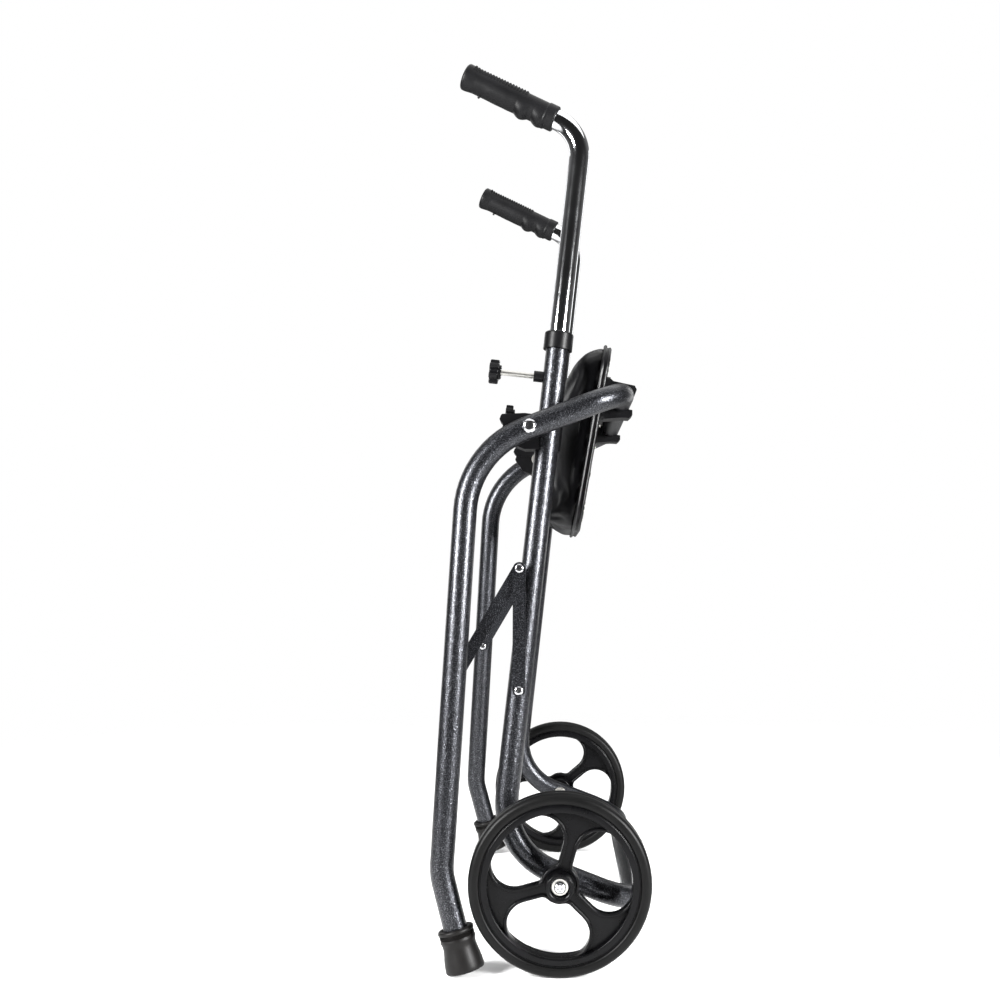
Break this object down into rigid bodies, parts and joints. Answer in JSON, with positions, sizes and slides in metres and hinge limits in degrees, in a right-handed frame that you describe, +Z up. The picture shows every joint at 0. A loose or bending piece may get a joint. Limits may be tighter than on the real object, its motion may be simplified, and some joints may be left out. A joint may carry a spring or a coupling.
{
  "type": "folding wheeled walker",
  "caption": "Folding walker frame with front wheels, rubber rear tips, telescopic padded-grip handles and a flip-up cushioned seat, standing folded.",
  "frame": {"origin": "on the floor under the middle of the folded walker", "axes": "+X the way it rolls, +Y to the user's left, +Z up"},
  "size_m": [0.2313, 0.568, 0.9817],
  "materials": {
    "frame_coat": "hammertone powder coat, dark with silver flecks",
    "handle_chrome": "bright chrome plate",
    "bright_fasteners": "polished plated steel",
    "zinc_steel": "zinc plated steel",
    "moulded_black": "satin black moulding",
    "grip_rubber": "soft black rubber",
    "tip_rubber": "matt black rubber",
    "wheel_plastic": "satin black moulding",
    "wheel_tyre": "solid black tyre",
    "seat_vinyl": "black vinyl, fine grain, light gloss"
  },
  "bodies": {
    "main_frame": {"front_frame_tube": "frame_coat", "front_link_rivets": "bright_fasteners", "front_link_spacers": "zinc_steel", "link_stop_pads": "tip_rubber", "axle_bolts": "bright_fasteners", "axle_washers": "zinc_steel", "axle_nuts": "zinc_steel", "wheel_spacers": "zinc_steel", "left_collar": "moulded_black", "left_clamp_boss": "moulded_black", "left_pivot_bracket": "moulded_black", "right_collar": "moulded_black", "right_clamp_boss": "moulded_black", "right_pivot_bracket": "moulded_black"},
    "rear_frame": {"rear_frame_tube": "frame_coat", "tip_washers": "zinc_steel", "pivot_bolts": "bright_fasteners", "pivot_washers": "zinc_steel", "pivot_nuts": "zinc_steel", "rear_link_rivets": "bright_fasteners", "rear_link_spacers": "zinc_steel", "left_rubber_tip": "tip_rubber", "right_rubber_tip": "tip_rubber"},
    "seat": {"seat_board": "moulded_black", "seat_pad": "seat_vinyl", "left_seat_saddle": "moulded_black", "right_seat_saddle": "moulded_black", "seat_screws": "zinc_steel"},
    "left_front_link": {"left_front_link": "frame_coat", "left_middle_rivet": "bright_fasteners"},
    "left_rear_link": {"left_rear_link": "frame_coat", "left_rivet_tail": "bright_fasteners"},
    "left_handle": {"left_handle_tube": "handle_chrome", "left_grip": "grip_rubber"},
    "left_clamp_screw": {"left_clamp_screw": "zinc_steel"},
    "left_star_knob": {"left_star_knob": "moulded_black"},
    "left_wheel": {"left_wheel": "wheel_plastic", "left_tyre": "wheel_tyre", "left_wheel_bush": "moulded_black"},
    "right_front_link": {"right_front_link": "frame_coat", "right_middle_rivet": "bright_fasteners"},
    "right_rear_link": {"right_rear_link": "frame_coat", "right_rivet_tail": "bright_fasteners"},
    "right_handle": {"right_handle_tube": "handle_chrome", "right_grip": "grip_rubber"},
    "right_clamp_screw": {"right_clamp_screw": "zinc_steel"},
    "right_star_knob": {"right_star_knob": "moulded_black"},
    "right_wheel": {"right_wheel": "wheel_plastic", "right_tyre": "wheel_tyre", "right_wheel_bush": "moulded_black"}
  },
  "joints": [
    {"name": "fold", "type": "hinge", "parent": "main_frame", "child": "rear_frame", "pos_m": [-0.0114, 0, 0.5728], "axis": [0, 1, 0], "range_deg": [0, 42]},
    {"name": "seat_flip", "type": "hinge", "parent": "rear_frame", "child": "seat", "pos_m": [0.0899, 0, 0.61189], "axis": [0, 1, 0], "range_deg": [0, 61]},
    {"name": "left_front_link_turn", "type": "hinge", "parent": "main_frame", "child": "left_front_link", "pos_m": [-0.02305, 0, 0.2918], "axis": [0, 1, 0], "range_deg": [-54.28, 0]},
    {"name": "left_rear_link_turn", "type": "hinge", "parent": "rear_frame", "child": "left_rear_link", "pos_m": [-0.0909, 0, 0.3058], "axis": [0, 1, 0], "range_deg": [0, 43.6]},
    {"name": "left_handle_height", "type": "slide", "parent": "main_frame", "child": "left_handle", "axis": [0.1107, -0.0624, 0.9919], "range_m": [-0.084, 0.056]},
    {"name": "left_clamp_travel", "type": "slide", "parent": "main_frame", "child": "left_clamp_screw", "axis": [-0.9939, -0.007, 0.1105], "range_m": [0, 0.008]},
    {"name": "left_knob_turn", "type": "hinge", "parent": "left_clamp_screw", "child": "left_star_knob", "pos_m": [-0.03499, 0.19105, 0.63553], "axis": [-0.9939, -0.007, 0.1105], "range_deg": [0, 2880]},
    {"name": "left_wheel_roll", "type": "hinge", "parent": "main_frame", "child": "left_wheel", "pos_m": [0.0209, 0.263, 0.09525], "axis": [0, 1, 0], "continuous": true},
    {"name": "right_front_link_turn", "type": "hinge", "parent": "main_frame", "child": "right_front_link", "pos_m": [-0.02305, 0, 0.2918], "axis": [0, 1, 0], "range_deg": [-54.28, 0]},
    {"name": "right_rear_link_turn", "type": "hinge", "parent": "rear_frame", "child": "right_rear_link", "pos_m": [-0.0909, 0, 0.3058], "axis": [0, 1, 0], "range_deg": [0, 43.6]},
    {"name": "right_handle_height", "type": "slide", "parent": "main_frame", "child": "right_handle", "axis": [0.1107, 0.0624, 0.9919], "range_m": [-0.112, 0.028]},
    {"name": "right_clamp_travel", "type": "slide", "parent": "main_frame", "child": "right_clamp_screw", "axis": [-0.9939, 0.007, 0.1105], "range_m": [0, 0.008]},
    {"name": "right_knob_turn", "type": "hinge", "parent": "right_clamp_screw", "child": "right_star_knob", "pos_m": [-0.03499, -0.19105, 0.63553], "axis": [-0.9939, 0.007, 0.1105], "range_deg": [0, 2880]},
    {"name": "right_wheel_roll", "type": "hinge", "parent": "main_frame", "child": "right_wheel", "pos_m": [0.0209, -0.263, 0.09525], "axis": [0, 1, 0], "continuous": true}
  ],
  "couplings": [
    {"joint": "left_front_link_turn", "follows": "fold", "ratio": -1.2924},
    {"joint": "left_rear_link_turn", "follows": "fold", "ratio": 1.0382},
    {"joint": "left_knob_turn", "follows": "left_clamp_travel", "rad_per_m": 6283.2},
    {"joint": "right_front_link_turn", "follows": "fold", "ratio": -1.2924},
    {"joint": "right_rear_link_turn", "follows": "fold", "ratio": 1.0382},
    {"joint": "right_knob_turn", "follows": "right_clamp_travel", "rad_per_m": 6283.2}
  ]
}
